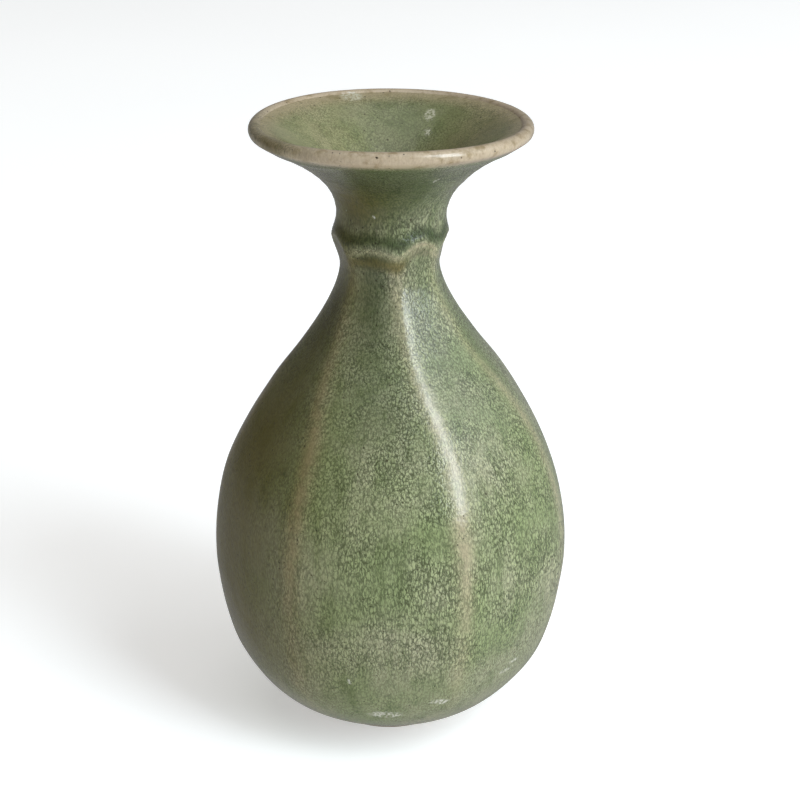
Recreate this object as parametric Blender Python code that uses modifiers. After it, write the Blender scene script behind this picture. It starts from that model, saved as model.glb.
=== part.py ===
"""A faceted celadon bottle vase, modelled the way the potter builds it.

Thrown clay sections are luted together with slip and covered by coats of glaze. A piece is a
profile in the XZ plane, turned by a Screw modifier. The knife work that follows the turning
(the facets, their slow twist and their arched tops) then moves the turned vertices.
Metres, +Z up, with the origin on the standing surface, under the middle of the foot ring.
"""

import math

import bpy

# Driving dimensions, in metres and degrees.
HEIGHT = 0.150
COLUMNS = 35
GLAZE = 0.0008
GAP = 0.0003
SLIP = 0.0008

WALL_BODY, WALL_NECK = 0.0046, 0.0038
OUTER_SHARE = 0.55
WALL_THINS_FROM, WALL_THINS_TO = 0.090, 0.118

LIP_RADIUS = 0.0325
LIP_THICKNESS = 0.0032
LIP_FROM_DEG, LIP_TO_DEG = -38.0, 142.0
LIP_STEPS = 6

FLOOR_Z = 0.0080
FLOOR_RADIUS = 0.0200
FLOOR_RISE = 0.0014
BASE_Z = 0.0034
BASE_RADIUS = 0.0162

FOOT_OUTER, FOOT_INNER, FOOT_TOP = 0.0170, 0.0126, 0.0022
FOOT_CHAMFER = 0.0009
FOOT_SLIP_INSET = 0.0004

BELLY_SEAM, SHOULDER_SEAM, MOUTH_SEAM = 0.0500, 0.1090, 0.1330

FACETS = 7
FIRST_RIDGE_DEG = -68.7
TWIST_DEG = -15.0
TWIST_FROM, TWIST_TO = 0.075, 0.113
CUT_DEPTH_BELLY, CUT_DEPTH_SHOULDER, CUT_DEPTH_COLLAR = 0.032, 0.042, 0.074
SHOULDER_CUT_FROM, SHOULDER_CUT_TO = 0.060, 0.100
COLLAR_CUT_FROM, COLLAR_CUT_TO = 0.118, 0.122
CUT_FOOT_FROM, CUT_FOOT_TO = 0.005, 0.024
CUT_TOP, CUT_ARCH, CUT_FADE = 0.1217, 0.0018, 0.0013

COLLAR_Z, COLLAR_SPREAD, COLLAR_SWELL = 0.1227, 0.0036, 0.00145

# The glazed outside before the knife work, as radius and height from the foot up to the lip.
OUTSIDE = (
    (0.0174, 0.0030),
    (0.0227, 0.0047),
    (0.0288, 0.0083),
    (0.0343, 0.0136),
    (0.0382, 0.0196),
    (0.0409, 0.0279),
    (0.0426, 0.0370),
    (0.0433, 0.0450),
    (0.0426, 0.0560),
    (0.0403, 0.0662),
    (0.0353, 0.0774),
    (0.0287, 0.0879),
    (0.0216, 0.0968),
    (0.0160, 0.1050),
    (0.0130, 0.1111),
    (0.0119, 0.1155),
    (0.0121, 0.1190),
    (0.0122, 0.1206),
    (0.0122, 0.1221),
    (0.0123, 0.1236),
    (0.0123, 0.1251),
    (0.0125, 0.1270),
    (0.0129, 0.1300),
    (0.0145, 0.1340),
    (0.0187, 0.1387),
    (0.0242, 0.1427),
    (0.0290, 0.1453),
)

STONEWARE = (0.50, 0.43, 0.33)
SLIP_CLAY = (0.58, 0.52, 0.43)
FOOT_CLAY = (0.36, 0.30, 0.23)
CELADON = (0.20, 0.23, 0.11)
CELADON_INSIDE = (0.18, 0.21, 0.10)
THIN_GLAZE = (0.40, 0.34, 0.24)


def blend(first, second, share):
    return first + (second - first) * share


def ramp(value, start, end):
    """0 at start, 1 at end, and level at both."""
    share = min(max((value - start) / (end - start), 0.0), 1.0)
    return share * share * (3.0 - 2.0 * share)


# The profile.


def wall_at(z):
    return blend(WALL_BODY, WALL_NECK, ramp(z, WALL_THINS_FROM, WALL_THINS_TO))


def moved_into_clay(curve, depth_at):
    """The curve moved by depth_at(height) to its left, where the clay is."""
    moved = []
    for index, (x, z) in enumerate(curve):
        x0, z0 = curve[max(index - 1, 0)]
        x1, z1 = curve[min(index + 1, len(curve) - 1)]
        share = depth_at(z) / math.hypot(x1 - x0, z1 - z0)
        moved.append((x - (z1 - z0) * share, z + (x1 - x0) * share))
    return moved


def lip_arc():
    """The rounded lip, from its underside over the crest to its inner side."""
    radius = LIP_THICKNESS / 2.0
    arc = []
    for step in range(LIP_STEPS + 1):
        angle = math.radians(blend(LIP_FROM_DEG, LIP_TO_DEG, step / LIP_STEPS))
        x = LIP_RADIUS - radius + radius * math.cos(angle)
        arc.append((x, HEIGHT - radius + radius * math.sin(angle)))
    return arc


def floor_points():
    """The inner floor, from its edge to the axis."""
    shares = (1.0, 0.55, 0.0)
    return [(FLOOR_RADIUS * share, FLOOR_Z + FLOOR_RISE * share**2) for share in shares]


def glazed_surface():
    """The whole glazed surface: up the outside, over the lip and down the inside to the axis."""
    lip = lip_arc()
    wall = moved_into_clay(OUTSIDE, wall_at)
    lowest = FLOOR_Z + 2.0 * FLOOR_RISE
    inside = [(x, z) for x, z in reversed(wall) if lowest < z < lip[-1][1]]
    return [*OUTSIDE, *lip, *inside, *floor_points()]


SURFACE = glazed_surface()
LIP_START = len(OUTSIDE)
LIP_END = LIP_START + LIP_STEPS
CREST = max(range(len(SURFACE)), key=lambda index: SURFACE[index][1])


def layer(depth):
    """The glazed surface moved that far into the wall, still ending on the axis."""
    moved = moved_into_clay(SURFACE, lambda z: depth)
    return [*moved[:-1], (0.0, moved[-1][1])]


def trimmed_start(curve, distance):
    """The curve with that much cut off its first span."""
    (x0, z0), (x1, z1) = curve[:2]
    share = distance / math.hypot(x1 - x0, z1 - z0)
    return [(blend(x0, x1, share), blend(z0, z1, share)), *curve[1:]]


def coat(first, last):
    """The two sides of a glaze coat over part of the surface: the air side and the clay side."""
    sides = []
    for side in (SURFACE[first : last + 1], layer(GLAZE)[first : last + 1]):
        side = trimmed_start(side, GAP / 2.0)
        if side[-1][0] > 0.0:
            side = trimmed_start(side[::-1], GAP / 2.0)[::-1]
        sides.append(side)
    return sides


def between_heights(curve, low, high):
    """The part of a curve that climbs or falls steadily, cut level at both heights."""
    kept = []
    for (x0, z0), (x1, z1) in zip(curve, curve[1:]):
        crossings = [height for height in (low, high) if min(z0, z1) < height < max(z0, z1)]
        if low <= z0 <= high:
            kept.append((x0, z0))
        for height in sorted(crossings, reverse=z1 < z0):
            kept.append((blend(x0, x1, (height - z0) / (z1 - z0)), height))
    if low <= curve[-1][1] <= high:
        kept.append(curve[-1])
    return kept


def clay_ring(low, high):
    """The profile of the clay between two heights: up the cavity side, then down the outside."""
    clay = layer(GLAZE + GAP)
    up = between_heights(clay[: CREST + 1], low, high)
    down = between_heights(clay[CREST:], low, high)
    if down[0] == up[-1]:
        down = down[1:]
    return [*reversed(down), *reversed(up)]


def lower_body_profile():
    top = BELLY_SEAM - SLIP / 2.0 - GAP
    return [*clay_ring(BASE_Z, top), (BASE_RADIUS, BASE_Z), (0.0, BASE_Z)]


def foot_profile():
    return [
        (FOOT_INNER, FOOT_CHAMFER),
        (FOOT_INNER, FOOT_TOP),
        (FOOT_OUTER, FOOT_TOP),
        (FOOT_OUTER, FOOT_CHAMFER),
        (FOOT_OUTER - FOOT_CHAMFER, 0.0),
        (FOOT_INNER + FOOT_CHAMFER, 0.0),
    ]


def foot_slip_profile():
    inner, outer = FOOT_INNER + FOOT_SLIP_INSET, FOOT_OUTER - FOOT_SLIP_INSET
    low, high = FOOT_TOP + GAP, BASE_Z - GAP
    return [(inner, low), (inner, high), (outer, high), (outer, low)]


# The knife work.


def radius_outside(z):
    """The radius of the glazed outside at a height, before the knife work."""
    for (x0, z0), (x1, z1) in zip(OUTSIDE, OUTSIDE[1:]):
        if z < z1:
            return blend(x0, x1, max(z - z0, 0.0) / (z1 - z0))
    return LIP_RADIUS


def facet_share(angle):
    """0 on a ridge, 1 half-way between two ridges, and flat as a chord from ridge to ridge."""
    half = math.pi / FACETS
    from_ridge = abs((angle + half) % (2.0 * half) - half)
    return (1.0 - math.cos(half) / math.cos(half - from_ridge)) / (1.0 - math.cos(half))


def collar_swell(z):
    """How far the thrown collar stands out at a height."""
    return COLLAR_SWELL * math.exp(-(((z - COLLAR_Z) / COLLAR_SPREAD) ** 2))


def cut_depth(angle, z):
    """How deep a facet is cut at its middle, as a share of the radius. It bites deepest into the
    collar and ends there in a low arch."""
    depth = blend(CUT_DEPTH_BELLY, CUT_DEPTH_SHOULDER, ramp(z, SHOULDER_CUT_FROM, SHOULDER_CUT_TO))
    depth = blend(depth, CUT_DEPTH_COLLAR, ramp(z, COLLAR_CUT_FROM, COLLAR_CUT_TO))
    top = CUT_TOP + CUT_ARCH * facet_share(angle)
    above = ramp(z, top - CUT_FADE, top + CUT_FADE)
    return depth * ramp(z, CUT_FOOT_FROM, CUT_FOOT_TO) * (1.0 - above)


def carve(mesh):
    """Swells the collar and cuts the facets in the outer side, and turns all by the twist."""
    for vertex in mesh.vertices:
        x, y, z = vertex.co
        radius = math.hypot(x, y)
        angle = math.atan2(y, x)
        outside = radius_outside(z)
        if radius > outside - WALL_BODY * OUTER_SHARE:
            swell = collar_swell(z)
            radius += swell - (outside + swell) * cut_depth(angle, z) * facet_share(angle)
        angle += math.radians(FIRST_RIDGE_DEG + TWIST_DEG * ramp(z, TWIST_FROM, TWIST_TO))
        vertex.co = (radius * math.cos(angle), radius * math.sin(angle), z)


# Objects.


def clear_scene():
    for obj in list(bpy.data.objects):
        bpy.data.objects.remove(obj, do_unlink=True)


def make_collection(name):
    collection = bpy.data.collections.new(name)
    bpy.context.scene.collection.children.link(collection)
    return collection


def make_material(name, colour, roughness):
    material = bpy.data.materials.new(name)
    material.use_nodes = True
    shader = material.node_tree.nodes["Principled BSDF"]
    shader.inputs["Base Color"].default_value = (*colour, 1.0)
    shader.inputs["Roughness"].default_value = roughness
    shader.inputs["Metallic"].default_value = 0.0
    material.diffuse_color = (*colour, 1.0)
    return material


def turned_mesh(name, profile, closed):
    """The profile turned about +Z by a Screw modifier, as a new mesh."""
    outline = bpy.data.meshes.new(name + "_profile")
    points = [(x, 0.0, z) for x, z in profile]
    edges = [(index, index + 1) for index in range(len(points) - 1)]
    if closed:
        edges.append((len(points) - 1, 0))
    outline.from_pydata(points, edges, [])
    guide = bpy.data.objects.new(name + "_profile", outline)
    bpy.context.scene.collection.objects.link(guide)
    screw = guide.modifiers.new("turn", "SCREW")
    screw.steps = COLUMNS
    screw.render_steps = COLUMNS
    screw.use_merge_vertices = True
    screw.merge_threshold = 0.00001
    bpy.context.view_layer.update()
    graph = bpy.context.evaluated_depsgraph_get()
    mesh = bpy.data.meshes.new_from_object(guide.evaluated_get(graph))
    bpy.data.objects.remove(guide, do_unlink=True)
    bpy.data.meshes.remove(outline)
    mesh.name = name
    return mesh


def add_turned(collection, name, profile, colour, roughness, closed=True, carved=True):
    """One sub-part: its profile turned, carved and given its own material."""
    mesh = turned_mesh(name, profile, closed)
    if carved:
        carve(mesh)
    mesh.materials.append(make_material(name, colour, roughness))
    mesh.shade_smooth()
    mesh.set_sharp_from_angle(angle=math.radians(35.0))
    obj = bpy.data.objects.new(name, mesh)
    collection.objects.link(obj)
    return obj


def build_clay(collection):
    add_turned(collection, "foot_ring", foot_profile(), FOOT_CLAY, 0.85, carved=False)
    lower = lower_body_profile()
    add_turned(collection, "lower_body", lower, STONEWARE, 0.80, closed=False)
    seams = (BELLY_SEAM, SHOULDER_SEAM, MOUTH_SEAM, HEIGHT + SLIP)
    for name, below, above in zip(("upper_body", "neck", "mouth"), seams, seams[1:]):
        clearance = SLIP / 2.0 + GAP
        profile = clay_ring(below + clearance, above - clearance)
        add_turned(collection, name, profile, STONEWARE, 0.80)


def build_slip_joints(collection):
    foot = foot_slip_profile()
    add_turned(collection, "foot_slip_joint", foot, SLIP_CLAY, 0.85, carved=False)
    seams = {"belly": BELLY_SEAM, "shoulder": SHOULDER_SEAM, "mouth": MOUTH_SEAM}
    for place, seam in seams.items():
        profile = clay_ring(seam - SLIP / 2.0, seam + SLIP / 2.0)
        add_turned(collection, place + "_slip_joint", profile, SLIP_CLAY, 0.85)


def build_glaze(collection):
    air, clay = coat(0, LIP_START)
    add_turned(collection, "outer_glaze", [*clay, *reversed(air)], CELADON, 0.22)
    air, clay = coat(LIP_START, LIP_END)
    add_turned(collection, "lip_glaze", [*clay, *reversed(air)], THIN_GLAZE, 0.35)
    air, clay = coat(LIP_END, len(SURFACE) - 1)
    profile = [*reversed(air), *clay]
    add_turned(collection, "inner_glaze", profile, CELADON_INSIDE, 0.25, closed=False)
    add_base_glaze(collection)


def add_base_glaze(collection):
    """The round pool of glaze in the recess inside the foot ring."""
    bpy.ops.mesh.primitive_cylinder_add(
        vertices=COLUMNS,
        radius=FOOT_INNER - GAP,
        depth=GLAZE,
        location=(0.0, 0.0, BASE_Z - GAP - GLAZE / 2.0),
    )
    disc = bpy.context.object
    disc.name = "base_glaze"
    disc.data.materials.append(make_material("base_glaze", CELADON, 0.30))
    for owner in list(disc.users_collection):
        owner.objects.unlink(disc)
    collection.objects.link(disc)


def main():
    clear_scene()
    vase = make_collection("celadon_vase")
    build_clay(vase)
    build_slip_joints(vase)
    build_glaze(vase)


main()
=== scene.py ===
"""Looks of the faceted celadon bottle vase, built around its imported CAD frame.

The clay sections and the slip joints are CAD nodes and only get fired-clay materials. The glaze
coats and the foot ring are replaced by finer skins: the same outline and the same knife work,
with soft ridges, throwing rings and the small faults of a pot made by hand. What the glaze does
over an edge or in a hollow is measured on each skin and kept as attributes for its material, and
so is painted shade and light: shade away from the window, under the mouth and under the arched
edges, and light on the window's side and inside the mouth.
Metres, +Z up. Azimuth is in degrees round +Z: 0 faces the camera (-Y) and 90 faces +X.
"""

import math

import bpy
import numpy as np
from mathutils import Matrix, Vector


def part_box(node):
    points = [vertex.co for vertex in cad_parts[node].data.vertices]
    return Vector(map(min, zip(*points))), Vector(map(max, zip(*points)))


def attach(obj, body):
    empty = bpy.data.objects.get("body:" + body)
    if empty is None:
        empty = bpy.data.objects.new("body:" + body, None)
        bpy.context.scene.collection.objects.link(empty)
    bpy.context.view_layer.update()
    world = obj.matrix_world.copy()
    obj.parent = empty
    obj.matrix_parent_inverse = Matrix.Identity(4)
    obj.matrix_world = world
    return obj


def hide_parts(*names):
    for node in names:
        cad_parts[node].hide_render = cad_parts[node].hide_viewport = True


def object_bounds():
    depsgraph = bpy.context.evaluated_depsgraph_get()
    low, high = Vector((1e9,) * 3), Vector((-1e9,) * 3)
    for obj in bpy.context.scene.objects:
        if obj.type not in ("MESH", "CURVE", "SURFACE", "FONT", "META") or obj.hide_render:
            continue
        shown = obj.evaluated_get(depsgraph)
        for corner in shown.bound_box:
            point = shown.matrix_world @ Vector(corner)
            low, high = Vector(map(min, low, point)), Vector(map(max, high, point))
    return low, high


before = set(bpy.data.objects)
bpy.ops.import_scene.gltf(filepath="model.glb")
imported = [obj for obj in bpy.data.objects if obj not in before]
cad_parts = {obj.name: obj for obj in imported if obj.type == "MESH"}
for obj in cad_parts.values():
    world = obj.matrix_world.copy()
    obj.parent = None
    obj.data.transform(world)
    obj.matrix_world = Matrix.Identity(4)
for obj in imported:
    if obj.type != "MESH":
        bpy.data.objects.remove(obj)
cad_low, cad_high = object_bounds()

# Driving dimensions. All lengths are given for a vase of this height and follow the CAD's height.
DESIGN_HEIGHT = 0.150
SCALE = (cad_high.z - cad_low.z) / DESIGN_HEIGHT
SEED = 11

SKIN = 0.0005
SEAM = 0.00002
COLUMNS = 336
OUTSIDE_SPACING, LIP_SPACING, INSIDE_SPACING, HIDDEN_SPACING = 0.00065, 0.00045, 0.00080, 0.0040
SHARP_DEG = 50.0

WALL_BODY, WALL_NECK = 0.0046, 0.0038
WALL_THINS_FROM, WALL_THINS_TO = 0.090, 0.118
LIP_RADIUS, LIP_THICKNESS = 0.0325, 0.0032
LIP_FROM_DEG, LIP_TO_DEG, LIP_STEPS = -38.0, 142.0, 16
LIP_CLEAR = 0.0006
FLOOR_Z, FLOOR_RADIUS, FLOOR_RISE = 0.0080, 0.0200, 0.0014

FACETS = 7
TWIST_DEG, TWIST_FROM, TWIST_TO = -15.0, 0.075, 0.113
CUT_DEPTH_BELLY, CUT_DEPTH_SHOULDER, CUT_DEPTH_COLLAR = 0.032, 0.042, 0.074
SHOULDER_CUT_FROM, SHOULDER_CUT_TO = 0.060, 0.100
COLLAR_CUT_FROM, COLLAR_CUT_TO = 0.118, 0.122
CUT_FOOT_FROM, CUT_FOOT_TO = 0.005, 0.024
CUT_TOP, CUT_FADE = 0.1217, 0.00085
COLLAR_Z, COLLAR_SPREAD, COLLAR_SWELL = 0.1227, 0.0036, 0.00145

FOOT_INNER = 0.0126
FOOT_ROUND, FOOT_TOP_ROUND, FOOT_ROUND_STEPS = 0.0008, 0.0003, 5
FOOT_UNEVEN, FOOT_UNEVEN_FROM = 0.00003, 0.0006
BASE_STEPS = 27
BASE_FILLET, BASE_RIPPLE, BASE_RIPPLE_TURN = 0.00045, 0.0002, 9.0

# What the hand leaves: shares of the radius, and lengths.
WAVE_COUNT = 14
WALL_UNEVEN, UNEVEN_FROM, UNEVEN_FULL = 0.0030, 0.004, 0.020
RING_DEPTH, RING_TURN, RING_WANDER = 0.000035, 3000.0, 900.0
RINGS_FROM, RINGS_FULL, RINGS_FADE, RINGS_FAINT = 0.126, 0.131, 0.143, 0.147
FLARE_FROM, FLARE_TO = 0.134, 0.1495
LIP_OVAL, LIP_SAG, LIP_WAVE = 0.005, 0.00022, 0.00012

# Each ridge's azimuth at the belly, and the height of the arch that ends the facet after it.
RIDGES = (
    (-33.0, 0.0009),
    (23.3, 0.0023),
    (71.2, 0.0018),
    (124.5, 0.0015),
    (175.0, 0.0021),
    (227.5, 0.0013),
    (277.0, 0.0018),
)
RIDGE_SOFT_DEG = 6.5

# The glazed outside before the knife work, as radius and height from the foot up to the lip.
OUTSIDE = (
    (0.0174, 0.0030),
    (0.0227, 0.0047),
    (0.0288, 0.0083),
    (0.0343, 0.0136),
    (0.0382, 0.0196),
    (0.0409, 0.0279),
    (0.0426, 0.0370),
    (0.0433, 0.0450),
    (0.0426, 0.0560),
    (0.0403, 0.0662),
    (0.0353, 0.0774),
    (0.0287, 0.0879),
    (0.0216, 0.0968),
    (0.0160, 0.1050),
    (0.0130, 0.1111),
    (0.0119, 0.1155),
    (0.0121, 0.1190),
    (0.0123, 0.1236),
    (0.0129, 0.1300),
    (0.0145, 0.1340),
    (0.0187, 0.1387),
    (0.0242, 0.1427),
    (0.0290, 0.1453),
)
NARROWEST = min(radius for radius, height in OUTSIDE)

# How far the middle of the pot leans to +X as it was lifted off the wheel, by height.
LEAN = (
    (0.000, -0.00040),
    (0.020, -0.00035),
    (0.045, 0.00020),
    (0.068, 0.00010),
    (0.085, 0.00050),
    (0.100, 0.00030),
    (0.121, -0.00030),
    (0.137, 0.00050),
    (0.150, 0.00000),
)


def blend(first, second, share):
    return first + (second - first) * share


def ramp(value, start, end):
    """0 at start, 1 at end, and level at both."""
    share = np.clip((value - start) / (end - start), 0.0, 1.0)
    return share * share * (3.0 - 2.0 * share)


def bell(value, middle, spread):
    """1 at the middle, falling off smoothly to both sides."""
    return np.exp(-(((value - middle) / spread) ** 2))


def smooth_curve(points, spacing):
    """A smooth curve through the points, with a point about every spacing."""
    points = np.array(points, float)
    lengths = np.hypot(*np.diff(points, axis=0).T)
    along = np.concatenate([[0.0], np.cumsum(np.sqrt(lengths))])
    slopes = np.gradient(points, along, axis=0)
    pieces = []
    for index, length in enumerate(lengths):
        count = max(1, round(length / spacing))
        share = np.arange(count)[:, None] / count
        width = along[index + 1] - along[index]
        start, end = points[index], points[index + 1]
        leave = share * (1.0 - share) ** 2 * width * slopes[index]
        arrive = share**2 * (1.0 - share) * width * slopes[index + 1]
        pieces.append(blend(start, end, ramp(share, 0.0, 1.0)) + leave - arrive)
    return np.vstack([*pieces, points[-1]])


def moved_in(curve, depth):
    """The curve moved by that depth to its left, where the clay is."""
    tangent = np.gradient(curve, axis=0)
    tangent /= np.hypot(tangent[:, 0], tangent[:, 1])[:, None]
    return curve + np.stack([-tangent[:, 1], tangent[:, 0]], axis=1) * np.reshape(depth, (-1, 1))


def thinned(curve, spacing):
    """The curve with only as many points as that spacing needs."""
    along = np.concatenate([[0.0], np.cumsum(np.hypot(*np.diff(curve, axis=0).T))])
    count = max(2, round(along[-1] / spacing) + 1)
    at = np.linspace(0.0, along[-1], count)
    return np.stack([np.interp(at, along, curve[:, axis]) for axis in (0, 1)], axis=1)


# The knife work and the faults of the hand.

RIDGE_STEP = 2.0 * math.pi / FACETS
random = np.random.default_rng(SEED)
WAVES = [
    (random.integers(1, 7), random.uniform(40.0, 260.0), random.uniform(0.0, 2.0 * math.pi))
    for _ in range(WAVE_COUNT)
]


def evened(azimuth, z):
    """The azimuth stretched so that the uneven, twisted ridges lie at whole steps, in radians."""
    ridges = np.radians([angle for angle, arch in RIDGES])
    shift = np.radians(TWIST_DEG) * ramp(z, TWIST_FROM, TWIST_TO)
    turned = (azimuth - shift - ridges[0]) % (2.0 * math.pi)
    stops = np.append(ridges - ridges[0], 2.0 * math.pi)
    return np.interp(turned, stops, RIDGE_STEP * np.arange(FACETS + 1))


def facet_of(even):
    """The number of the ridge before each place, and how far it is from the nearest ridge."""
    half = RIDGE_STEP / 2.0
    number = np.minimum((even / RIDGE_STEP).astype(int), FACETS - 1)
    return number, np.abs((even + half) % RIDGE_STEP - half)


def hollow(from_ridge, soft):
    """0 on a ridge and 1 half-way between two. A knife cuts nearly flat from ridge to ridge."""
    half = RIDGE_STEP / 2.0

    def chord(off):
        return (1.0 - math.cos(half) / np.cos(half - off)) / (1.0 - math.cos(half))

    rounded = np.minimum(np.sqrt(from_ridge**2 + soft**2), half)
    return (chord(rounded) - chord(soft)) / (1.0 - chord(soft))


def facets(azimuth, z):
    """The facet's hollow from 0 to 1, the distance from the nearest ridge, and the height at which
    the facet ends in the collar."""
    number, from_ridge = facet_of(evened(azimuth, z))
    share = hollow(from_ridge, math.radians(RIDGE_SOFT_DEG))
    arches = np.array([arch for angle, arch in RIDGES])
    return share, from_ridge, CUT_TOP + arches[number] * share


def cut_depth(z, top):
    """How deep the knife went in the middle of a facet, as a share of the radius."""
    depth = blend(CUT_DEPTH_BELLY, CUT_DEPTH_SHOULDER, ramp(z, SHOULDER_CUT_FROM, SHOULDER_CUT_TO))
    depth = blend(depth, CUT_DEPTH_COLLAR, ramp(z, COLLAR_CUT_FROM, COLLAR_CUT_TO))
    depth = depth * ramp(z, CUT_FOOT_FROM, CUT_FOOT_TO)
    return depth * (1.0 - ramp(z, top - CUT_FADE, top + CUT_FADE))


def waviness(azimuth, z):
    """The slow unevenness of a wall thrown by hand, about 1 at its most."""
    total = np.zeros(np.broadcast(azimuth, z).shape)
    for turns, pitch, phase in WAVES:
        total += np.cos(turns * azimuth + pitch * z + phase)
    return total / math.sqrt(len(WAVES) / 2.0) / 2.0


def throwing_rings(z):
    """Fine level grooves that the fingers left on the neck and under the mouth."""
    grooves = np.sin(RING_TURN * z + 0.6 * np.sin(RING_WANDER * z))
    return grooves * ramp(z, RINGS_FROM, RINGS_FULL) * (1.0 - 0.7 * ramp(z, RINGS_FADE, RINGS_FAINT))


def lean(z):
    """How far the middle of the pot is to +X of the axis at each height."""
    heights, leans = np.array(LEAN).T
    return np.interp(z, heights, leans)


def carved_radius(radius, z, azimuth):
    """The outline's radius with the collar's swell, the knife's cuts and the throwing rings."""
    share, _, top = facets(azimuth, z)
    swell = COLLAR_SWELL * bell(z, COLLAR_Z, COLLAR_SPREAD)
    outside = np.maximum(radius, NARROWEST)
    radius = radius + swell - (outside + swell) * cut_depth(z, top) * share
    return radius + RING_DEPTH * throwing_rings(z)


def placed(radius, z, azimuth, carved):
    """Points of the pot as it came out, from the turned outline's radius and height."""
    if carved:
        radius = carved_radius(radius, z, azimuth)
    radius = radius * (1.0 + WALL_UNEVEN * waviness(azimuth, z) * ramp(z, UNEVEN_FROM, UNEVEN_FULL))
    flare = ramp(z, FLARE_FROM, FLARE_TO)
    radius = radius * (1.0 + flare * LIP_OVAL * np.cos(2.0 * azimuth + 0.8))
    sag = LIP_SAG * np.cos(2.0 * azimuth - 0.5) + LIP_WAVE * np.cos(3.0 * azimuth)
    x = radius * np.sin(azimuth) + lean(z)
    y = -radius * np.cos(azimuth)
    return np.stack([x, y, z + flare * sag], axis=-1) * SCALE


# Skins.


def volume_of(mesh):
    """The signed volume inside a closed mesh."""
    mesh.calc_loop_triangles()
    points = np.empty(len(mesh.vertices) * 3)
    mesh.vertices.foreach_get("co", points)
    corners = np.empty(len(mesh.loop_triangles) * 3, np.int32)
    mesh.loop_triangles.foreach_get("vertices", corners)
    a, b, c = points.reshape(-1, 3)[corners.reshape(-1, 3)].transpose(1, 0, 2)
    return float(np.einsum("ij,ij->i", a, np.cross(b, c)).sum() / 6.0)


def lathe_faces(rows, columns, looped, on_axis):
    """Quads between the rows, the last joined to the first if looped, and a fan to each axis end."""
    faces = []
    for row in range(rows if looped else rows - 1):
        below, above = row * columns, (row + 1) % rows * columns
        for column in range(columns):
            beside = (column + 1) % columns
            faces.append((below + column, below + beside, above + beside, above + column))
    for row, pole in on_axis:
        ring = row * columns
        for column in range(columns):
            corner = (ring + column, ring + (column + 1) % columns, pole)
            faces.append(corner if row else corner[::-1])
    return faces


def lathe_grid(profile, columns):
    """The profile's radius and height as columns of numbers, and the azimuths as a row."""
    azimuth = np.linspace(0.0, 2.0 * math.pi, columns, endpoint=False)[None, :]
    return profile[:, 0][:, None], profile[:, 1][:, None], azimuth


def new_object(name, points, faces, material):
    """A smooth closed object, with its faces turned outwards."""
    mesh = bpy.data.meshes.new(name)
    mesh.from_pydata([tuple(point) for point in points], [], faces)
    if volume_of(mesh) < 0.0:
        mesh.flip_normals()
    mesh.shade_smooth()
    mesh.set_sharp_from_angle(angle=math.radians(SHARP_DEG))
    mesh.materials.append(material)
    obj = bpy.data.objects.new(name, mesh)
    bpy.context.scene.collection.objects.link(obj)
    return obj


def new_skin(name, air, clay, columns, material, carved=True):
    """A closed thin skin turned from its air side and its clay side. Both sides start together and
    end together, either with an edge or on the axis."""
    on_axis = air[-1][0] < 1e-6
    if on_axis:
        heights = (air[-1, 1], clay[-1, 1])
        air, clay = air[:-1], clay[:-1]
    profile = np.vstack([air[::-1], clay])
    points = placed(*lathe_grid(profile, columns), carved).reshape(-1, 3)
    poles = []
    if on_axis:
        for row, z in zip((0, len(profile) - 1), heights):
            poles.append((row, len(points)))
            points = np.vstack([points, np.array([lean(z), 0.0, z]) * SCALE])
    faces = lathe_faces(len(profile), columns, not on_axis, poles)
    return new_object(name, points, faces, material)


def outside_curve():
    return smooth_curve(OUTSIDE, OUTSIDE_SPACING)


def lip_curve():
    radius = LIP_THICKNESS / 2.0
    angle = np.radians(np.linspace(LIP_FROM_DEG, LIP_TO_DEG, LIP_STEPS + 1))
    out = LIP_RADIUS - radius + radius * np.cos(angle)
    up = DESIGN_HEIGHT - radius + radius * np.sin(angle)
    return np.stack([out, up], axis=1)


def inside_curve():
    """Down the inner wall from the lip to the floor's edge, then to the axis."""
    outside = np.array(OUTSIDE)
    wall = blend(WALL_BODY, WALL_NECK, ramp(outside[:, 1], WALL_THINS_FROM, WALL_THINS_TO))
    inside = moved_in(outside, wall)[::-1]
    lip_end = lip_curve()[-1]
    below_lip = inside[:, 1] < lip_end[1] - LIP_CLEAR
    above_floor = inside[:, 1] > FLOOR_Z + 2.0 * FLOOR_RISE
    shares = np.array([1.0, 0.55, 0.0])
    floor = np.stack([FLOOR_RADIUS * shares, FLOOR_Z + FLOOR_RISE * shares**2], axis=1)
    return smooth_curve(np.vstack([lip_end, inside[below_lip & above_floor], floor]), INSIDE_SPACING)


# What the glaze does, and painted shade and light, kept on each skin as attributes.

# The side that faces the window: where it starts and over how many degrees. Ridges fade further on.
RIGHT_SIDE = (10.0, 17.2)
FAINT_RIDGES = (40.0, 17.2)
# Past this direction the painted shade on the neck eases, toward the window.
NECK_SHADE_EASES = (15.0, 28.6)

# Heights over which something starts or changes.
RIDGES_START, RIDGES_STRONG, SHOULDER = (0.010, 0.030), (0.035, 0.065), (0.080, 0.105)
FACET_DEEPENS, FACET_DEEPEST = (0.072, 0.092), (0.092, 0.112)
BROWN_STARTS, BROWN_EASES = (0.004, 0.032), (0.075, 0.100)
LOW_POOL_ENDS, LOW_CALM_ENDS, BARE_ENDS = (0.014, 0.050), (0.014, 0.046), (0.0042, 0.0110)
LIP_STARTS, BROWN_LIP_STARTS, INNER_LIP_STARTS = (0.1456, 0.1472), (0.1455, 0.1470), (0.1474, 0.1496)

# Bands along the arched edge that ends a facet: how far above the edge, and their spread.
WORN_EDGE = (-0.0002, 0.0006)
WORN_ARCH = (-0.0014, 0.0018)
# Under the left arches: painted shade, in brown.
BROWN_SHADE_UNDER_ARCH = (-0.0030, 0.0020)
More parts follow.
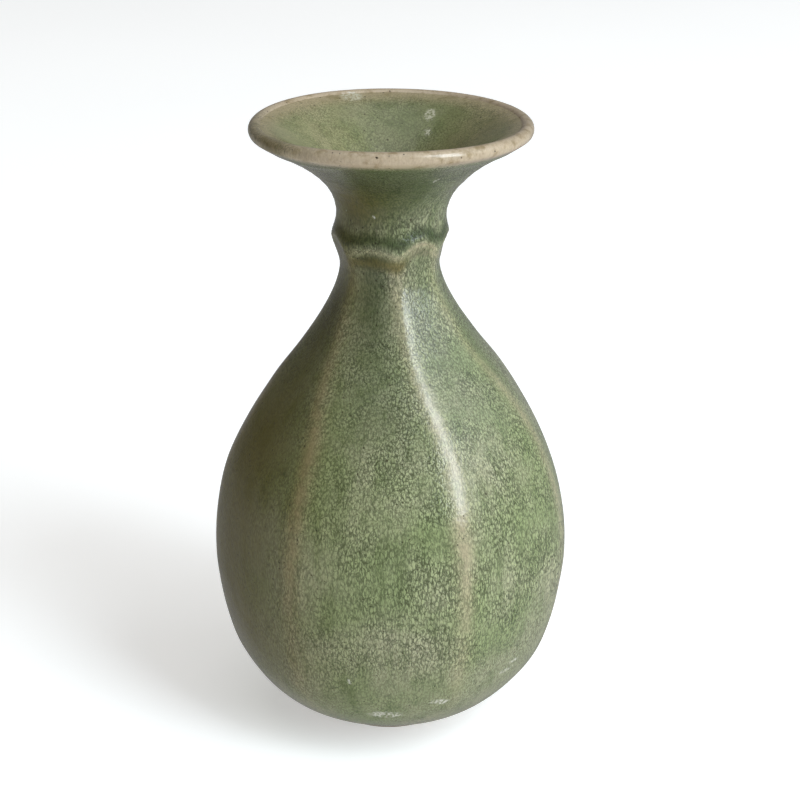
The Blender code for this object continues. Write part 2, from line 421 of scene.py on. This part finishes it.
# Under every arch: pooled glaze and painted shade under the edge.
ARCH_POOL_AND_SHADE = (-0.0022, 0.0013)
COLLAR_POOL = (0.0026, 0.0019)

# Where something starts or ends beside that edge.
EDGE, OVER_EDGE, UNDER_EDGE = (-0.0004, 0.0004), (0.0, 0.0008), (-0.0016, -0.0004)
NECK_STARTS = (0.0020, 0.0060)

# Directions in which the colour differs: azimuth and spread. Brown on the side, on the neck and
# inside is brown glaze and painted shade away from the window. Inside, the pale places are painted
# light and reflection, and the back is darker.
BROWN_AND_SHADE_SIDE = (-68.0, 42.0)
BROWN_AND_SHADE_NECK = (-42.0, 40.0)
BROWN_LIP = (-54.0, 13.0)
BROWN_AND_SHADE_INSIDE = (105.0, 40.0)
# Inside the mouth: pale places of painted light and reflection, and a darker back.
LIT_INSIDE_LEFT = (-115.0, 45.8)
LIT_INSIDE_RIGHT = (110.0, 34.4)
DARKER_INSIDE_BACK = (180.0, 51.6)

# Widths of the wear on a ridge, bands up the neck as middle and spread, and where the lip juts out.
RIDGE_WEAR_BELLY, RIDGE_WEAR_SHOULDER = 0.0023, 0.0018
# The neck's bands: pooled glaze and painted shade under the mouth, then brown glaze and painted shade.
NECK_POOL_AND_SHADE, NECK_BROWN_SHADE_BAND = (0.1385, 0.0110), (0.1335, 0.0080)
LIP_JUTS = (0.0288, 0.0296)
INSIDE_CALM = 0.35

# Listed marks: azimuth and height, then spread along and up.
SCUFFS = (
    ((17.7, 0.0197), 0.0022, 0.00045),
    ((19.0, 0.0190), 0.0012, 0.00030),
    ((47.4, 0.0220), 0.0024, 0.00045),
    ((50.5, 0.0240), 0.0016, 0.00040),
    ((-1.5, 0.0153), 0.0034, 0.00110),
    ((-13.8, 0.0262), 0.0005, 0.00045),
    ((-51.5, 0.1310), 0.0003, 0.00025),
    ((-18.0, 0.1306), 0.0003, 0.00025),
    ((25.9, 0.1407), 0.0004, 0.00030),
    ((27.5, 0.1412), 0.0003, 0.00025),
    ((-160.5, 0.1492), 0.0022, 0.00060),
    ((156.2, 0.1461), 0.0012, 0.00090),
    ((152.0, 0.1431), 0.0008, 0.00055),
    ((205.0, 0.0180), 0.0030, 0.00040),
    ((118.0, 0.0250), 0.0012, 0.00030),
)
PITS = (
    ((19.3, 0.1298), 0.00030, 0.00045),
    ((17.5, 0.1283), 0.00020, 0.00025),
    ((-10.2, 0.1484), 0.00030, 0.00030),
    ((-5.3, 0.1494), 0.00030, 0.00025),
    ((-24.0, 0.0700), 0.00030, 0.00030),
    ((140.0, 0.1290), 0.00030, 0.00030),
    ((255.0, 0.0620), 0.00035, 0.00030),
)


class Places:
    """Where a skin's vertices are, at the design height's scale, and the knife work round them."""

    def __init__(self, obj):
        points = np.empty(len(obj.data.vertices) * 3)
        obj.data.vertices.foreach_get("co", points)
        x, y, self.z = points.reshape(-1, 3).T / SCALE
        x = x - lean(self.z)
        self.azimuth = np.arctan2(x, -y)
        self.radius = np.hypot(x, y)
        self.share, self.from_ridge, self.top = facets(self.azimuth, self.z)
        self.right = self.past(*RIGHT_SIDE)

    def apart(self, degrees):
        """The signed angle between each place and one direction, in radians."""
        return (self.azimuth - math.radians(degrees) + math.pi) % (2.0 * math.pi) - math.pi

    def toward(self, degrees, spread):
        """1 in that direction, falling off to both sides."""
        return bell(self.apart(degrees), 0.0, math.radians(spread))

    def past(self, degrees, width):
        """0 up to that direction, 1 from a width past it."""
        return ramp(self.apart(degrees), 0.0, math.radians(width))

    def above(self, start, end):
        """0 below the start, 1 above the end."""
        return ramp(self.z, start, end)

    def above_edge(self, start, end):
        """The same, with heights measured from the facets' arched edges."""
        return ramp(self.z - self.top, start, end)

    def along_edge(self, above, spread):
        """1 in a band along the facets' arched edges."""
        return bell(self.z, self.top + above, spread)

    def spot(self, where, width, height):
        """1 at one place of the surface, falling off over its width and height."""
        degrees, middle = where
        across = bell(self.apart(degrees) * self.radius, 0.0, width)
        return across * bell(self.z, middle, height)


def mark(obj, name, *values):
    """Keeps the largest of the values at each vertex as an attribute."""
    layer = obj.data.attributes.new(name, "FLOAT", "POINT")
    largest = np.clip(np.maximum.reduce(values), 0.0, 1.0)
    layer.data.foreach_set("value", largest.astype(np.float32))


def mark_thin(obj, at):
    """Thin glaze over the ridges, and over and under the arched edges on the right."""
    shoulder = at.above(*SHOULDER)
    cut = at.above(*RIDGES_START) * (1.0 - at.above_edge(*EDGE))
    strength = blend(0.45, 1.0, at.above(*RIDGES_STRONG)) * blend(1.0, 0.58, shoulder)
    strength = strength * blend(1.0, 0.60, at.past(*FAINT_RIDGES))
    width = blend(RIDGE_WEAR_BELLY, RIDGE_WEAR_SHOULDER, shoulder)
    ridge = bell(at.from_ridge * at.radius, 0.0, width) * cut * strength
    edge = at.along_edge(*WORN_EDGE) * ramp(at.share, 0.0, 0.25) * blend(0.45, 1.0, at.right)
    arch = 0.55 * at.along_edge(*WORN_ARCH) * (at.z < at.top) * at.right
    mark(obj, "thin_and_lit", ridge, edge, arch)


def mark_pool_and_shade(obj, at):
    """Deep glaze above and under the edges, at the facets' tops, on the neck and near the foot,
    with painted shade under the edges and under the mouth, and painted light where it eases toward
    the window.
    """
    collar = at.along_edge(*COLLAR_POOL) * at.above_edge(*OVER_EDGE)
    # Under every arched edge: pooled glaze and painted shade.
    arch = at.along_edge(*ARCH_POOL_AND_SHADE) * at.share
    facet = 0.422 * at.above(*FACET_DEEPENS) + 0.370 * at.above(*FACET_DEEPEST)
    # On the window's side it is weaker: the lighter glaze there is painted light.
    facet = facet * at.share * blend(1.0, 0.45, at.right) * (1.0 - at.above_edge(*UNDER_EDGE))
    # Under the mouth: pooled glaze and painted shade, easing toward the window.
    neck = 0.90 * bell(at.z, *NECK_POOL_AND_SHADE) * at.above_edge(*NECK_STARTS)
    neck = neck * blend(1.0, 0.55, at.past(*NECK_SHADE_EASES))
    low = 0.22 * (1.0 - at.above(*LOW_POOL_ENDS))
    mark(obj, "pool_and_shade", collar, arch, facet, neck, low)


def lip_brown(at):
    """One browned place on the lip."""
    return at.toward(*BROWN_LIP) * at.above(*BROWN_LIP_STARTS)


def mark_brown_and_shade(obj, at):
    """Olive brown glaze and painted shade on the side away from the window and on the neck, painted
    shade in brown under the left arches, and one brown place on the lip.
    """
    # Brown glaze and painted shade on the side away from the window.
    side = at.toward(*BROWN_AND_SHADE_SIDE) * at.above(*BROWN_STARTS) * (at.z < DESIGN_HEIGHT)
    side = side * blend(1.0, 0.7, at.above(*BROWN_EASES))
    # On the neck: brown glaze and painted shade.
    neck = 0.9 * bell(at.z, *NECK_BROWN_SHADE_BAND) * at.toward(*BROWN_AND_SHADE_NECK)
    # Under the left arches: painted shade, in brown.
    arch = 0.85 * at.along_edge(*BROWN_SHADE_UNDER_ARCH) * (1.0 - at.right) * (at.z < at.top)
    mark(obj, "brown_and_shade", side, neck, arch, lip_brown(at))


def mark_faults(obj, at):
    """Scuffs, pits, and the strip over the foot that the glaze hardly covers."""
    mark(obj, "scuff", *[at.spot(*scuff) for scuff in SCUFFS])
    mark(obj, "pit", *[at.spot(*pit) for pit in PITS])
    mark(obj, "bare", 1.0 - at.above(*BARE_ENDS))


def mark_outside(obj):
    at = Places(obj)
    mark_thin(obj, at)
    mark_pool_and_shade(obj, at)
    mark_brown_and_shade(obj, at)
    mark_faults(obj, at)
    mark(obj, "lip", at.above(*LIP_STARTS) * ramp(at.radius, *LIP_JUTS))
    mark(obj, "calm", 0.55 * (1.0 - at.above(*LOW_CALM_ENDS)))


def mark_inside(obj):
    at = Places(obj)
    # Pale to both sides inside the mouth: painted light and reflection.
    mark(obj, "thin_and_lit", 0.42 * at.toward(*LIT_INSIDE_LEFT) + 0.50 * at.toward(*LIT_INSIDE_RIGHT))
    # Darker toward the back of the inside.
    mark(obj, "pool_and_shade", 0.40 * at.toward(*DARKER_INSIDE_BACK))
    # Brown glaze and painted shade on the inner wall away from the window, and the lip's brown place.
    mark(obj, "brown_and_shade", 0.25 * at.toward(*BROWN_AND_SHADE_INSIDE), lip_brown(at))
    mark_faults(obj, at)
    mark(obj, "lip", 0.75 * at.above(*INNER_LIP_STARTS))
    mark(obj, "calm", np.full_like(at.z, INSIDE_CALM))


# Materials.


class Graph:
    """A material's node tree, with a short call for each kind of node that it uses."""

    def __init__(self, name):
        self.material = bpy.data.materials.new(name)
        self.material.use_nodes = True
        self.tree = self.material.node_tree
        self.shader = self.tree.nodes["Principled BSDF"]
        self.place = self.add("ShaderNodeTexCoord").outputs["Object"]

    def feed(self, socket, value):
        if isinstance(value, bpy.types.NodeSocket):
            self.tree.links.new(value, socket)
        else:
            socket.default_value = value

    def add(self, kind, inputs=None, **settings):
        node = self.tree.nodes.new(kind)
        for name, value in settings.items():
            setattr(node, name, value)
        for name, value in (inputs or {}).items():
            self.feed(node.inputs[name], value)
        return node

    def set(self, **values):
        """Sets the shader's sockets, with _ in a name for a space."""
        for name, value in values.items():
            self.feed(self.shader.inputs[name.replace("_", " ")], value)

    def math(self, operation, first, second=0.0):
        return self.add("ShaderNodeMath", {0: first, 1: second}, operation=operation).outputs[0]

    def times(self, first, *others):
        """All the values multiplied together."""
        for value in others:
            first = self.math("MULTIPLY", first, value)
        return first

    def most(self, first, *others):
        """The largest of the values."""
        for value in others:
            first = self.math("MAXIMUM", first, value)
        return first

    def vector(self, operation, first, second):
        return self.add("ShaderNodeVectorMath", {0: first, 1: second}, operation=operation).outputs[0]

    def scaled(self, stretch):
        return self.vector("MULTIPLY", self.place, stretch)

    def mapped(self, value, low, high, to_low=0.0, to_high=1.0):
        """The value's range made another, level at both ends."""
        inputs = {"Value": value, "From Min": low, "From Max": high, "To Min": to_low, "To Max": to_high}
        return self.add("ShaderNodeMapRange", inputs, interpolation_type="SMOOTHSTEP").outputs[0]

    def mix(self, share, first, second, mode="MIX"):
        node = self.add("ShaderNodeMix", {0: share}, data_type="RGBA", blend_type=mode)
        for index, value in ((6, first), (7, second)):
            colour = isinstance(value, tuple)
            self.feed(node.inputs[index], (*value, 1.0) if colour else value)
        return node.outputs[2]

    def grey(self, value):
        return self.add("ShaderNodeCombineColor", {0: value, 1: value, 2: value}).outputs[0]

    def noise(self, size, detail=2.0, rough=0.5, place=None):
        inputs = {"Vector": place or self.place, "Scale": 1.0 / size}
        inputs.update({"Detail": detail, "Roughness": rough})
        return self.add("ShaderNodeTexNoise", inputs).outputs["Fac"]

    def bent(self, place, size, by):
        """The place pushed about by noise, so that lines drawn with it waver."""
        noise = self.add("ShaderNodeTexNoise", {"Vector": place, "Scale": 1.0 / size, "Detail": 2.0})
        centred = self.vector("SUBTRACT", noise.outputs["Color"], (0.5, 0.5, 0.5))
        return self.vector("ADD", place, self.vector("MULTIPLY", centred, (by, by, by)))

    def cracks(self, place, cell, width):
        """1 on the lines between cells of that size, 0 away from them."""
        inputs = {"Vector": place, "Scale": 1.0 / cell}
        node = self.add("ShaderNodeTexVoronoi", inputs, feature="DISTANCE_TO_EDGE")
        return self.mapped(node.outputs["Distance"], 0.0, width, 1.0, 0.0)

    def specks(self, cell, share, radius):
        """Small round specks in that share of the cells."""
        node = self.add("ShaderNodeTexVoronoi", {"Vector": self.place, "Scale": 1.0 / cell})
        value = self.add("ShaderNodeSeparateColor", {0: node.outputs["Color"]}).outputs[0]
        chosen = self.math("GREATER_THAN", value, 1.0 - share)
        return self.times(chosen, self.mapped(node.outputs["Distance"], 0.6 * radius, radius, 1.0, 0.0))

    def marked(self, name):
        return self.add("ShaderNodeAttribute", attribute_name=name).outputs["Fac"]

    def bump(self, height, depth, normal=None):
        node = self.add("ShaderNodeBump", {"Height": height, "Distance": depth, "Strength": 1.0})
        if normal:
            self.feed(node.inputs["Normal"], normal)
        return node.outputs[0]


GREEN = (0.225, 0.268, 0.125)
PALE_GREEN = (0.335, 0.335, 0.210)
DEEP_GREEN = (0.120, 0.160, 0.060)
# Dark green for pooled glaze, also used for painted shade.
POOL_AND_SHADE_GREEN = (0.020, 0.040, 0.010)
BROWN = (0.092, 0.070, 0.006)
BEIGE = (0.430, 0.360, 0.235)
OCHRE = (0.190, 0.142, 0.050)
LIP_BEIGE = (0.470, 0.375, 0.265)
LIP_OCHRE = (0.260, 0.190, 0.095)
CRACK = (0.055, 0.066, 0.026)
IRON = (0.035, 0.024, 0.012)
SCUFF_WHITE = (0.62, 0.60, 0.52)
BARE_CLAY = (0.235, 0.205, 0.160)

# Colours that multiply the glaze's, and how strong the crackle is inside the mouth.
NO_TINT = (1.0, 1.0, 1.0)
INSIDE_TINT, INSIDE_CRACKLE = (0.90, 0.89, 0.78), 0.7
BASE_TINT = (0.90, 0.95, 0.90)

# Fired clays: light, dark and grit.
STONEWARE = ((0.52, 0.45, 0.35), (0.40, 0.34, 0.25), (0.16, 0.11, 0.07))
SLIP = ((0.62, 0.56, 0.47), (0.52, 0.46, 0.37), (0.25, 0.19, 0.13))
FOOT_CLAY = ((0.36, 0.31, 0.24), (0.23, 0.19, 0.14), (0.09, 0.06, 0.04))

# Specks: the size of a cell, the share of the cells that have one, and its radius in cells.
IRON_SPECKS, IRON_SPOTS = (0.0015, 0.30, 0.17), (0.0075, 0.30, 0.055)
PORES, DARK_GRIT, PALE_GRIT = (0.0013, 0.40, 0.14), (0.0011, 0.35, 0.16), (0.0016, 0.25, 0.13)

# Sizes in the glaze: slow clouds, runs, worn spots, and the strokes and cells of the crackle.
CLOUD, RUN, PATCH, UNEVEN, WORN_SPOT, WAVE = 0.022, 0.0035, 0.009, 0.0030, 0.0024, 0.0045
STROKE, CELL, LINE_SHARE = 0.00042, 0.00078, 0.13
WAVER_SIZE, WAVER = 0.0009, 0.0005
SCRATCH, MELT = 0.0007, 0.002
CLAY_CLOUD, CLAY_GRAIN = 0.006, 0.0004
RUN_STRETCH, UPRIGHT = (1.0, 1.0, 0.22), (1.0, 1.0, 0.40)
STROKE_TONE, NET_TONE = 0.50, 0.78

# How high the relief stands in the glaze, in the clear coat over it and in bare clay.
WAVE_RELIEF, GLAZE_RELIEF, COAT_RELIEF, CLAY_RELIEF = 0.00020, 0.00007, 0.000022, 0.00008
COAT_WEIGHT, COAT_ROUGHNESS = 0.90, 0.17


def glaze_ground(g, thin_and_lit, pool_and_shade, brown_and_shade, lip):
    """Mottled green, dark in pools and where shade is painted, brown where the glaze browned and
    where shade is painted, and beige where thin, where light is painted inside and on the lip.
    """
    clouds = g.noise(CLOUD, 3.0, 0.55)
    runs = g.noise(RUN, 3.0, 0.6, g.scaled(RUN_STRETCH))
    colour = g.mix(g.mapped(clouds, 0.32, 0.68), GREEN, PALE_GREEN)
    colour = g.mix(g.mapped(runs, 0.42, 0.78, 0.0, 0.65), colour, DEEP_GREEN)
    colour = g.mix(g.times(pool_and_shade, 0.85), colour, POOL_AND_SHADE_GREEN)
    colour = g.mix(g.times(brown_and_shade, 0.88), colour, BROWN)
    edge_colour = g.mix(g.mapped(brown_and_shade, 0.10, 0.70), BEIGE, OCHRE)
    colour = g.mix(g.times(thin_and_lit, 0.85), colour, edge_colour)
    worn = g.mapped(g.noise(WORN_SPOT, 4.0, 0.65), 0.46, 0.70, 0.0, 0.80)
    return g.mix(lip, colour, g.mix(worn, LIP_BEIGE, LIP_OCHRE))


def glaze_crackle(g, thin_and_lit, brown_and_shade, lip, crackle):
    """Upright strokes, from -1 to 1, and the dark net. Both fade where the glaze lies calm."""
    calm = g.most(g.times(thin_and_lit, 0.75), g.times(brown_and_shade, 0.70), g.times(lip, 0.90), g.marked("calm"))
    patches = g.mapped(g.noise(PATCH), 0.34, 0.60, 0.60, 1.0)
    lively = g.times(patches, crackle, g.math("SUBTRACT", 1.0, calm))
    upright = g.scaled(UPRIGHT)
    strokes = g.mapped(g.noise(STROKE, 2.0, 0.62, upright), 0.38, 0.62, -1.0, 1.0)
    net = g.cracks(g.bent(upright, WAVER_SIZE, WAVER), CELL, LINE_SHARE)
    return g.times(strokes, lively), g.times(net, lively)


def glaze_faults(g):
    """Pits and iron specks, scuffs, and the clay that shows through over the foot."""
    specks = g.most(g.specks(*IRON_SPECKS), g.specks(*IRON_SPOTS))
    pits = g.most(g.mapped(g.marked("pit"), 0.25, 0.7), g.times(specks, 0.75))
    scratch = g.mapped(g.noise(SCRATCH, 3.0, 0.7), 0.40, 0.60)
    scuff = g.times(g.mapped(g.marked("scuff"), 0.08, 0.50), scratch)
    melt = g.mapped(g.noise(MELT, 3.0, 0.6), 0.25, 0.60, 0.6, 1.0)
    return pits, scuff, g.times(g.marked("bare"), melt)


def finish_glaze(g, colour, strokes, net, pits, dry):
    """A soft sheen under a clear coat. The coat's own relief is weaker, so highlights stay whole."""
    relief = g.math("SUBTRACT", g.times(strokes, 0.6), g.times(net, 0.5))
    relief = g.math("SUBTRACT", relief, pits)
    waves = g.bump(g.noise(WAVE), WAVE_RELIEF)
    roughness = g.mapped(g.most(dry, g.times(net, 0.35)), 0.0, 1.0, 0.36, 0.75)
    g.set(Base_Color=colour, Roughness=roughness, Normal=g.bump(relief, GLAZE_RELIEF, waves))
    g.set(Coat_Weight=COAT_WEIGHT, Coat_Roughness=COAT_ROUGHNESS)
    g.set(Coat_Normal=g.bump(relief, COAT_RELIEF, waves))
    g.set(Specular_IOR_Level=0.10, IOR=1.5)


def glaze_material(name, tint=NO_TINT, crackle=1.0):
    """Crackled celadon: mottled green over a dark net, with the faults of its firing and wear."""
    g = Graph(name)
    pool_and_shade, brown_and_shade = g.marked("pool_and_shade"), g.marked("brown_and_shade")
    uneven = g.mapped(g.noise(UNEVEN, 3.0, 0.6), 0.30, 0.62, 0.55, 1.0)
    thin_and_lit = g.times(g.marked("thin_and_lit"), uneven)
    lip = g.times(g.marked("lip"), g.mapped(brown_and_shade, 0.0, 1.0, 1.0, 0.35))
    colour = glaze_ground(g, thin_and_lit, pool_and_shade, brown_and_shade, lip)
    strokes, net = glaze_crackle(g, thin_and_lit, brown_and_shade, lip, crackle)
    tone = g.math("ADD", 1.0, g.times(strokes, STROKE_TONE))
    colour = g.mix(1.0, colour, g.grey(tone), "MULTIPLY")
    colour = g.mix(g.times(net, NET_TONE), colour, CRACK)
    pits, scuff, bare = glaze_faults(g)
    colour = g.mix(pits, colour, IRON)
    colour = g.mix(g.times(scuff, 0.85), colour, SCUFF_WHITE)
    colour = g.mix(bare, colour, BARE_CLAY)
    colour = g.mix(1.0, colour, tint, "MULTIPLY")
    finish_glaze(g, colour, strokes, net, pits, g.most(scuff, bare))
    return g.material


def fired_clay_material(name, light, dark, grit):
    """Fired stoneware: a mottled body with dark and pale grit, open and matt."""
    g = Graph(name)
    clouds = g.noise(CLAY_CLOUD, 4.0, 0.6)
    pores = g.specks(*PORES)
    colour = g.mix(g.mapped(clouds, 0.3, 0.7), dark, light)
    colour = g.mix(g.specks(*DARK_GRIT), colour, grit)
    colour = g.mix(g.times(g.specks(*PALE_GRIT), 0.6), colour, SCUFF_WHITE)
    colour = g.mix(g.times(pores, 0.7), colour, IRON)
    height = g.math("SUBTRACT", g.noise(CLAY_GRAIN, 3.0, 0.65), pores)
    roughness = g.mapped(clouds, 0.3, 0.7, 0.78, 0.92)
    g.set(Base_Color=colour, Roughness=roughness, Normal=g.bump(height, CLAY_RELIEF))
    return g.material


# Pieces.


def add_outer_glaze(material):
    air = outside_curve()
    clay = thinned(moved_in(air, SKIN), HIDDEN_SPACING)
    air[-1] = air[-1] - (air[-1] - air[-2]) * SEAM / OUTSIDE_SPACING
    skin = new_skin("outer_glaze_skin", air, clay, COLUMNS, material)
    mark_outside(skin)
    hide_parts("outer_glaze")
    return skin


def add_lip_glaze(material):
    air = smooth_curve(np.vstack([outside_curve()[-1], lip_curve()]), LIP_SPACING)
    skin = new_skin("lip_glaze_skin", air, moved_in(air, SKIN), COLUMNS, material)
    mark_outside(skin)
    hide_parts("lip_glaze")
    return skin


def add_inner_glaze(material):
    air = inside_curve()
    clay = moved_in(air, SKIN)
    clay[-1][0] = 0.0
    skin = new_skin("inner_glaze_skin", air, clay, COLUMNS // 2, material, carved=False)
    mark_inside(skin)
    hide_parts("inner_glaze")
    return skin


def add_base_glaze(material):
    """A shallow disc in the recess, with a fillet where it meets the foot ring."""
    low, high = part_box("base_glaze")
    share = np.linspace(1.0, 0.0, BASE_STEPS + 1)
    ripple = BASE_RIPPLE * np.cos(BASE_RIPPLE_TURN * share) * (1.0 - share)
    under = low.z / SCALE - BASE_FILLET * ramp(share, 0.80, 1.0) - ripple
    over = np.full_like(share, high.z / SCALE)
    out = share * high.x / SCALE
    air, clay = np.stack([out, under], axis=1), np.stack([out, over], axis=1)
    skin = new_skin("base_glaze_skin", air, clay, COLUMNS // 3, material, carved=False)
    mark_inside(skin)
    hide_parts("base_glaze")
    return skin


def foot_outline(outer, top):
    """The foot ring's section, as an arc at each corner from the outer standing edge round."""
    corners = (
        (outer - FOOT_ROUND, FOOT_ROUND, FOOT_ROUND),
        (outer - FOOT_TOP_ROUND, top - FOOT_TOP_ROUND, FOOT_TOP_ROUND),
        (FOOT_INNER + FOOT_TOP_ROUND, top - FOOT_TOP_ROUND, FOOT_TOP_ROUND),
        (FOOT_INNER + FOOT_ROUND, FOOT_ROUND, FOOT_ROUND),
    )
    points = []
    for quarter, (out, up, size) in enumerate(corners):
        start = 90.0 * (quarter - 1)
        for angle in np.radians(np.linspace(start, start + 90.0, FOOT_ROUND_STEPS + 1)):
            points.append((out + size * math.cos(angle), up + size * math.sin(angle)))
    return np.array(points)


def add_foot_ring(material):
    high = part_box("foot_ring")[1]
    outline = foot_outline(high.x / SCALE, high.z / SCALE)
    radius, z, azimuth = lathe_grid(outline, COLUMNS)
    uneven = sum(np.cos(turns * azimuth + 1.7 * turns) for turns in (2, 3, 5, 9, 17, 31))
    radius = radius + FOOT_UNEVEN * uneven * ramp(z, 0.0, FOOT_UNEVEN_FROM)
    x = radius * np.sin(azimuth) + lean(0.0)
    y = -radius * np.cos(azimuth)
    points = np.stack([x, y, np.broadcast_to(z, x.shape)], axis=-1).reshape(-1, 3) * SCALE
    faces = lathe_faces(len(outline), COLUMNS, True, [])
    ring = new_object("foot_ring_fine", points, faces, material)
    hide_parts("foot_ring")
    return ring


def add_pieces():
    clay = fired_clay_material("fired_stoneware", *STONEWARE)
    slip = fired_clay_material("fired_slip", *SLIP)
    for name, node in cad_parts.items():
        node.data.materials[0] = slip if name.endswith("slip_joint") else clay
    pieces = [
        add_outer_glaze(glaze_material("celadon_outside")),
        add_lip_glaze(glaze_material("celadon_over_lip")),
        add_inner_glaze(glaze_material("celadon_inside", INSIDE_TINT, INSIDE_CRACKLE)),
        add_base_glaze(glaze_material("celadon_base", BASE_TINT)),
        add_foot_ring(fired_clay_material("bare_foot_clay", *FOOT_CLAY)),
    ]
    for piece in pieces:
        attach(piece, "root")


# Studio.

# Each light's azimuth, elevation, distance, width, height, power and colour.
LIGHTS = {
    "window": (50.0, 34.0, 2.20, 0.80, 1.90, 46.0, (0.84, 0.94, 1.0)),
    "soft_box": (88.0, 34.0, 2.40, 1.20, 1.60, 9.0, (0.95, 0.98, 1.0)),
    "top_box": (10.0, 85.0, 2.60, 2.40, 2.40, 19.0, (1.0, 0.97, 0.92)),
}
FLOOR_SIZE, FLOOR_MOTTLE, FLOOR_GLOW = 8.0, 0.30, 0.42
FLOOR_DARK, FLOOR_LIGHT = (0.88, 0.88, 0.88), (0.90, 0.90, 0.90)
WORLD_COLOUR = (1.0, 0.99, 0.97, 1.0)
WORLD_LEFT, WORLD_RIGHT, WORLD_FLOOR = 0.08, 0.25, 0.15
CAMERA_LENS, CAMERA_SENSOR, CAMERA_SHIFT = 81.0, 36.0, 0.01125
CAMERA_BACK, CAMERA_UP, CAMERA_DOWN_DEG = 0.4005, 0.2456, 22.3


def add_floor():
    """A pale floor that glows a little. The glaze doesn't mirror it: the world does its part."""
    bpy.ops.mesh.primitive_plane_add(size=FLOOR_SIZE, location=(0.0, 0.0, 0.0))
    floor = bpy.context.object
    floor.name = "studio_floor"
    g = Graph("pale_floor")
    mottle = g.mapped(g.noise(FLOOR_MOTTLE), 0.3, 0.7)
    g.set(Base_Color=g.mix(mottle, FLOOR_DARK, FLOOR_LIGHT), Roughness=0.9)
    g.set(Emission_Color=(1.0, 1.0, 1.0, 1.0), Emission_Strength=FLOOR_GLOW)
    floor.data.materials.append(g.material)
    floor.visible_glossy = False


def add_light(name, azimuth, elevation, distance, width, height, watts, colour):
    """A soft box aimed at the middle of the vase."""
    a, e = math.radians(azimuth), math.radians(elevation)
    data = bpy.data.lights.new(name, "AREA")
    data.shape = "RECTANGLE"
    data.size, data.size_y = width, height
    data.energy = watts
    data.color = colour
    light = bpy.data.objects.new(name, data)
    bpy.context.scene.collection.objects.link(light)
    centre = (cad_low + cad_high) / 2.0
    away = type(centre)((math.sin(a) * math.cos(e), -math.cos(a) * math.cos(e), math.sin(e)))
    light.location = centre + away * distance
    light.rotation_euler = away.to_track_quat("Z", "Y").to_euler()


def graded(tree, direction, start, end, dim, bright):
    """A strength that changes between two places along one direction of the world."""
    node = tree.nodes.new("ShaderNodeMapRange")
    sockets = ("From Min", "From Max", "To Min", "To Max")
    for socket, value in zip(sockets, (start, end, dim, bright)):
        node.inputs[socket].default_value = value
    tree.links.new(direction, node.inputs["Value"])
    return node.outputs[0]


def add_world():
    """Pale surroundings, brighter on the window's side, and a dim floor for the glaze to mirror."""
    world = bpy.data.worlds.new("studio")
    world.use_nodes = True
    bpy.context.scene.world = world
    tree = world.node_tree
    place = tree.nodes.new("ShaderNodeTexCoord")
    split = tree.nodes.new("ShaderNodeSeparateXYZ")
    both = tree.nodes.new("ShaderNodeMath")
    tree.links.new(place.outputs["Generated"], split.inputs[0])
    across = graded(tree, split.outputs["X"], -0.8, 0.8, WORLD_LEFT, WORLD_RIGHT)
    below = graded(tree, split.outputs["Z"], 0.02, -0.10, 0.0, WORLD_FLOOR)
    tree.links.new(across, both.inputs[0])
    tree.links.new(below, both.inputs[1])
    background = tree.nodes["Background"]
    background.inputs["Color"].default_value = WORLD_COLOUR
    tree.links.new(both.outputs[0], background.inputs["Strength"])


def add_camera():
    data = bpy.data.cameras.new("camera")
    data.lens = CAMERA_LENS
    data.sensor_width = CAMERA_SENSOR
    data.shift_x = CAMERA_SHIFT
    camera = bpy.data.objects.new("camera", data)
    bpy.context.scene.collection.objects.link(camera)
    camera.location = (0.0, -CAMERA_BACK * SCALE, CAMERA_UP * SCALE)
    camera.rotation_euler = (math.radians(90.0 - CAMERA_DOWN_DEG), 0.0, 0.0)
    bpy.context.scene.camera = camera


def add_studio():
    add_floor()
    for name, settings in LIGHTS.items():
        add_light(name, *settings)
    add_world()
    add_camera()
    bpy.context.scene.view_settings.view_transform = "Standard"


add_pieces()
add_studio()
